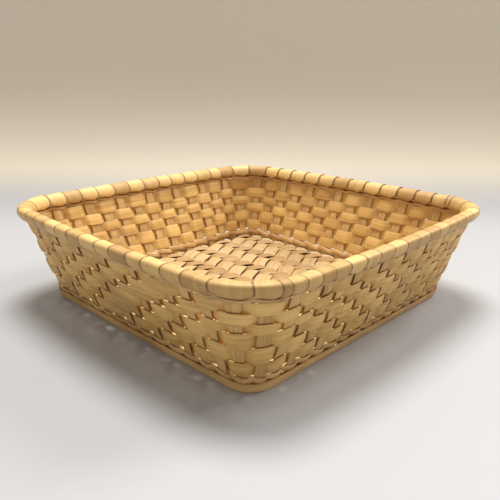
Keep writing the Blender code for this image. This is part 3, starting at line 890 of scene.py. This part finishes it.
def mat_splint(start, step, turned, raised, half, seed, sizes):
    """One splint of the mat, from edge to edge of it: points, metres along and metres across.

    height = middle + depth * level + bow * level * (1 - across squared) + lean * across + half the
    thickness on each face, where level is a cosine of half a turn for each crossing, turned over for
    every other splint, raised a little for the upper set and flattened by a power. None where the splint
    would be too short.
    """
    shift_seed, width_seed, lean_seed = (seed + more for more in MAT_SEEDS)
    low, high = clip_to_mat(start, step)
    if high - low < MAT_SHORTEST:
        return None
    place = np.linspace(low, high, int((high - low) * MAT_STEPS) + 2)[:, None]
    far_place = place + MAT_FAR_PLACE
    across, face, thickness = splint_ring(MAT_POINTS)
    wave = np.clip(np.cos(place * math.pi) * turned + raised, -1, 1)
    level = np.sign(wave) * np.abs(wave) ** MAT_LEVEL_POWER
    swell = MAT_SWELL_SHARE * wave**2 + MAT_UNEVEN_SHARE * uneven(far_place, width_seed)
    width = half * (1 - MAT_NARROW_SHARE + swell)
    height = (
        MAT_MIDDLE
        + sizes.mat_depth * level
        + MAT_BOW * level * (1 - across**2)
        + MAT_LEAN * uneven(far_place, lean_seed) * across
        + face * thickness * sizes.splint_thickness / 2
    )
    long_way = np.linalg.norm(step)
    sideways = np.array((-step[1], step[0])) / long_way
    shift = MAT_WANDER * uneven(far_place, shift_seed) + width * across
    where = (start + place * step)[:, None, :] + shift[..., None] * sideways
    where = np.clip(where, -MAT_SIDE, MAT_SIDE)
    points = np.concatenate((where, np.maximum(height, MAT_CLEARANCE)[..., None]), axis=-1)
    return points, place * long_way, width * across * face, across


def make_mat(sizes, material):
    """Plain weave on the bias: every splint rises over one crossing splint and dips under the next."""
    long_step, back_step = MAT_STEP, MAT_STEP * np.array((1, -1))
    rows = math.ceil(MAT_SIDE / MAT_STEP[1])
    for name, step, row_step, sign, seed, deepest in (
        ("base_splint_woven_", long_step, back_step, 1.0, 300, 0.0),
        ("base_splint_level_", back_step, long_step, -1.0, 400, 0.5),
    ):
        shells = Shells()
        random = np.random.default_rng(seed)
        for row in range(-rows, rows + 1):
            half = sizes.mat_width / 2 * (1 + random.uniform(-MAT_WIDTH_SHARE, MAT_WIDTH_SHARE))
            turned, raised = (sign if row % 2 == 0 else -sign), MAT_UPPER_SHARE * sign
            splint = mat_splint(row * row_step + MAT_SHIFT, step, turned, raised, half, seed + row, sizes)
            if splint is not None:
                shells.add(*splint, deepest + random.uniform(0, MAT_TONE_SHARE))
        nodes = [node_name for node_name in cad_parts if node_name.startswith(name)]
        shells.build(name + "set", material, nodes)


def make_foot_band(material):
    """A flat hoop outside the stakes' feet, on which the basket stands. It turns as the wall does."""
    shells = Shells()
    place = places_round(BAND_STEPS)
    across, face, thickness = splint_ring(BAND_POINTS)
    offset_seed, top_seed, tone_seed = BAND_SEEDS
    height = (BAND_HEIGHT / 2 + BAND_TOP_WANDER * uneven(place, top_seed)) * (1 + across)
    flat = BAND_HALF_THICKNESS * face * thickness**BAND_FLATNESS_POWER
    points = wall_point(place, height, BAND_OFFSET + flat + BAND_WANDER * uneven(place, offset_seed))
    wide = BAND_HEIGHT / 2 * across * face
    tone = 0.5 + BAND_TONE_SHARE * uneven(place, tone_seed)
    shells.add(points, length_round(place, BAND_MEASURE_HEIGHT), wide, across, tone, closed=True)
    shells.build("foot_band_splint", material, ("foot_band",))


# Floor, light and camera


def sweep_points():
    """A sheet that runs level, turns up through a quarter circle and rises, and is as wide all the way.

    depth = near edge + depth * twice the share, up to the sweep, + radius * sine; height = radius * (1 -
    cosine) and then an even rise.
    """
    share = np.linspace(0, 1, FLOOR_ROWS)
    turn = np.clip((share - SWEEP_START_SHARE) / (SWEEP_END_SHARE - SWEEP_START_SHARE), 0, 1) * math.pi / 2
    level = np.minimum(share, SWEEP_START_SHARE) / SWEEP_START_SHARE
    upright = np.maximum(share - SWEEP_END_SHARE, 0) / (1 - SWEEP_END_SHARE)
    depth = FLOOR_NEAR + level * FLOOR_DEPTH + SWEEP_RADIUS * np.sin(turn)
    height = SWEEP_RADIUS * (1 - np.cos(turn)) + upright * BACKDROP_RISE - FLOOR_DROP
    away = np.array((math.sin(FLOOR_TURN), math.cos(FLOOR_TURN)))
    wide = np.array((away[1], -away[0]))
    span = np.linspace(-FLOOR_HALF_WIDTH, FLOOR_HALF_WIDTH, FLOOR_COLUMNS)
    flat = depth[:, None, None] * away + span[None, :, None] * wide
    height = np.broadcast_to(height[:, None, None], (FLOOR_ROWS, FLOOR_COLUMNS, 1))
    return np.concatenate((flat, height), axis=-1)


def make_floor(colours):
    """A pale floor that sweeps up into a backdrop of another pale colour."""
    row, column = np.meshgrid(np.arange(FLOOR_ROWS - 1), np.arange(FLOOR_COLUMNS - 1), indexing="ij")
    corner = row * FLOOR_COLUMNS + column
    ahead = corner + FLOOR_COLUMNS
    faces = np.stack((corner, corner + 1, ahead + 1, ahead), axis=-1)
    mesh = bpy.data.meshes.new("floor_sweep")
    mesh.from_pydata(sweep_points().reshape(-1, 3).tolist(), [], faces.reshape(-1, 4).tolist())
    mesh.polygons.foreach_set("use_smooth", np.ones(len(mesh.polygons), bool))
    floor = bpy.data.objects.new("floor_sweep", mesh)
    bpy.context.scene.collection.objects.link(floor)
    material = plain_surface("pale_floor", colours.floor, 0.6)
    tree = material.node_tree
    place = node(tree, "ShaderNodeTexCoord", {}, {}, "Object")
    height = node(tree, "ShaderNodeSeparateXYZ", {}, {"Vector": place}, "Z")
    risen = height.between(0.0, BACKDROP_COLOUR_HEIGHT)
    colour = mix_colour(tree, risen, opaque(colours.floor), opaque(colours.backdrop))
    tree.links.new(colour.socket, tree.nodes["Principled BSDF"].inputs["Base Color"])
    mesh.materials.append(material)


def make_light():
    """An even room and two soft lamps, one over the basket and one to its right."""
    world = bpy.data.worlds.new("soft_room")
    world.use_nodes = True
    background = world.node_tree.nodes["Background"]
    background.inputs["Color"].default_value = opaque(ROOM_COLOUR)
    background.inputs["Strength"].default_value = ROOM_STRENGTH
    bpy.context.scene.world = world
    for name, wide, power, spot in LAMPS:
        lamp = bpy.data.lights.new(name, "AREA")
        lamp.shape = "DISK"
        lamp.size = wide
        lamp.energy = power
        lamp.color = LAMP_COLOUR
        item = bpy.data.objects.new(name, lamp)
        item.location = spot
        item.rotation_mode = "QUATERNION"
        item.rotation_quaternion = (Vector(LAMP_AIM) - Vector(spot)).to_track_quat("-Z", "Y")
        bpy.context.scene.collection.objects.link(item)
    bpy.context.scene.view_settings.view_transform = "Standard"


def make_camera():
    """The camera at the photograph's place and angle, turned into the basket's frame."""
    flat = math.cos(CAMERA_PITCH)
    forward = Vector((math.sin(CAMERA_YAW) * flat, math.cos(CAMERA_YAW) * flat, -math.sin(CAMERA_PITCH)))
    level = Vector((math.cos(CAMERA_YAW), -math.sin(CAMERA_YAW), 0.0))
    upward = level.cross(forward)
    right = level * math.cos(CAMERA_ROLL) + upward * math.sin(CAMERA_ROLL)
    top = upward * math.cos(CAMERA_ROLL) - level * math.sin(CAMERA_ROLL)
    view = Matrix((right, top, -forward)).transposed().to_4x4()
    view.translation = Vector(CAMERA_PLACE)
    data = bpy.data.cameras.new("camera")
    data.sensor_width = SENSOR_WIDTH
    data.sensor_fit = "HORIZONTAL"
    data.lens = FOCAL_PIXELS * SENSOR_WIDTH / PHOTO_PIXELS
    camera = bpy.data.objects.new("camera", data)
    camera.matrix_world = Matrix.Rotation(-CAMERA_ROUND_BASKET, 4, "Z") @ view
    bpy.context.scene.collection.objects.link(camera)
    bpy.context.scene.camera = camera


# Operators, panel and the run


class BASKET_OT_weavers(bpy.types.Operator):
    """Weave the six weavers of the walls"""

    bl_idname = "basket.weavers"
    bl_label = "Weavers"

    def execute(self, context):
        colours = context.scene.basket_colours
        material = splint_wood("weaver_splint_wood", colours.weaver_pale, colours.weaver_deep)
        make_weavers(context.scene.basket_sizes, material)
        return {"FINISHED"}


class BASKET_OT_stakes(bpy.types.Operator):
    """Set the upright splints of the walls"""

    bl_idname = "basket.stakes"
    bl_label = "Stakes"

    def execute(self, context):
        colours = context.scene.basket_colours
        material = splint_wood("stake_splint_wood", colours.stake_pale, colours.stake_deep)
        make_stakes(context.scene.basket_sizes, material)
        return {"FINISHED"}


class BASKET_OT_twine(bpy.types.Operator):
    """Twine the two rows of thin strands above the mat and under the rim"""

    bl_idname = "basket.twine"
    bl_label = "Twined strands"

    def execute(self, context):
        colours = context.scene.basket_colours
        sizes = context.scene.basket_sizes
        material = splint_wood("twine_splint_wood", colours.twine_pale, colours.twine_deep)
        make_strands("base_twine", BASE_TWINE_HEIGHT, sizes.base_strand, material)
        make_strands("rim_twine", RIM_TWINE_HEIGHT, sizes.rim_strand, material)
        return {"FINISHED"}


class BASKET_OT_rim(bpy.types.Operator):
    """Lay the two hoops of the rim and wind the splint round them"""

    bl_idname = "basket.rim"
    bl_label = "Rim"

    def execute(self, context):
        colours = context.scene.basket_colours
        sizes = context.scene.basket_sizes
        wood = splint_wood("hoop_splint_wood", colours.stake_pale, colours.stake_deep)
        make_hoop("inner_rim_hoop_splint", INNER_HOOP, "stakes_and_inner_rim_hoop", wood)
        make_hoop("outer_rim_hoop_splint", OUTER_HOOP, "outer_rim_hoop", wood)
        pale, deep = colours.rim_pale, colours.rim_deep
        # The rim's edges darken most, partly as browning and partly as painted shade for the shadow line
        # under each turn's free edge
        shares = {"tone_share": 0.9, "edge_wear_and_shade": 1.0, "bump": 0.3, "edge_wear_and_shade_start": 0.80, "grain": 0.45}
        material = splint_wood("rim_splint_wood", pale, deep, **shares)
        make_wrap(sizes, material)
        return {"FINISHED"}


class BASKET_OT_mat(bpy.types.Operator):
    """Plait the bottom on the bias"""

    bl_idname = "basket.mat"
    bl_label = "Bottom mat"

    def execute(self, context):
        colours = context.scene.basket_colours
        material = splint_wood("mat_splint_wood", colours.mat_pale, colours.mat_deep, tone_share=0.8)
        make_mat(context.scene.basket_sizes, material)
        return {"FINISHED"}


class BASKET_OT_foot_band(bpy.types.Operator):
    """Close the foot with a flat band"""

    bl_idname = "basket.foot_band"
    bl_label = "Foot band"

    def execute(self, context):
        colours = context.scene.basket_colours
        material = splint_wood("band_splint_wood", colours.band_pale, colours.band_deep)
        make_foot_band(material)
        return {"FINISHED"}


class BASKET_OT_stage(bpy.types.Operator):
    """Set the floor, the light and the camera"""

    bl_idname = "basket.stage"
    bl_label = "Floor, light and camera"

    def execute(self, context):
        make_floor(context.scene.basket_colours)
        make_light()
        make_camera()
        return {"FINISHED"}


OPERATORS = (
    BASKET_OT_mat,
    BASKET_OT_stakes,
    BASKET_OT_weavers,
    BASKET_OT_twine,
    BASKET_OT_rim,
    BASKET_OT_foot_band,
    BASKET_OT_stage,
)


class BASKET_PT_panel(bpy.types.Panel):
    """Sizes, colours and one button for each group of splints"""

    bl_idname = "BASKET_PT_panel"
    bl_label = "Berry basket"
    bl_space_type = "VIEW_3D"
    bl_region_type = "UI"
    bl_category = "Basket"

    def draw(self, context):
        layout = self.layout
        for group in (context.scene.basket_sizes, context.scene.basket_colours):
            box = layout.box()
            for name in group.__annotations__:
                box.prop(group, name)
        for operator in OPERATORS:
            layout.operator(operator.bl_idname)


CLASSES = (BasketSizes, BasketColours, *OPERATORS, BASKET_PT_panel)


def register():
    """Makes the classes and the scene's two property groups known to Blender."""
    for item in CLASSES:
        bpy.utils.register_class(item)
    bpy.types.Scene.basket_sizes = bpy.props.PointerProperty(type=BasketSizes)
    bpy.types.Scene.basket_colours = bpy.props.PointerProperty(type=BasketColours)


def unregister():
    """Takes them out again, in the opposite order."""
    del bpy.types.Scene.basket_colours
    del bpy.types.Scene.basket_sizes
    for item in reversed(CLASSES):
        bpy.utils.unregister_class(item)


def main():
    """Builds the whole basket."""
    register()
    for operator in OPERATORS:
        group, name = operator.bl_idname.split(".")
        getattr(getattr(bpy.ops, group), name)()
    bpy.context.view_layer.update()


if __name__ == "__main__":
    main()
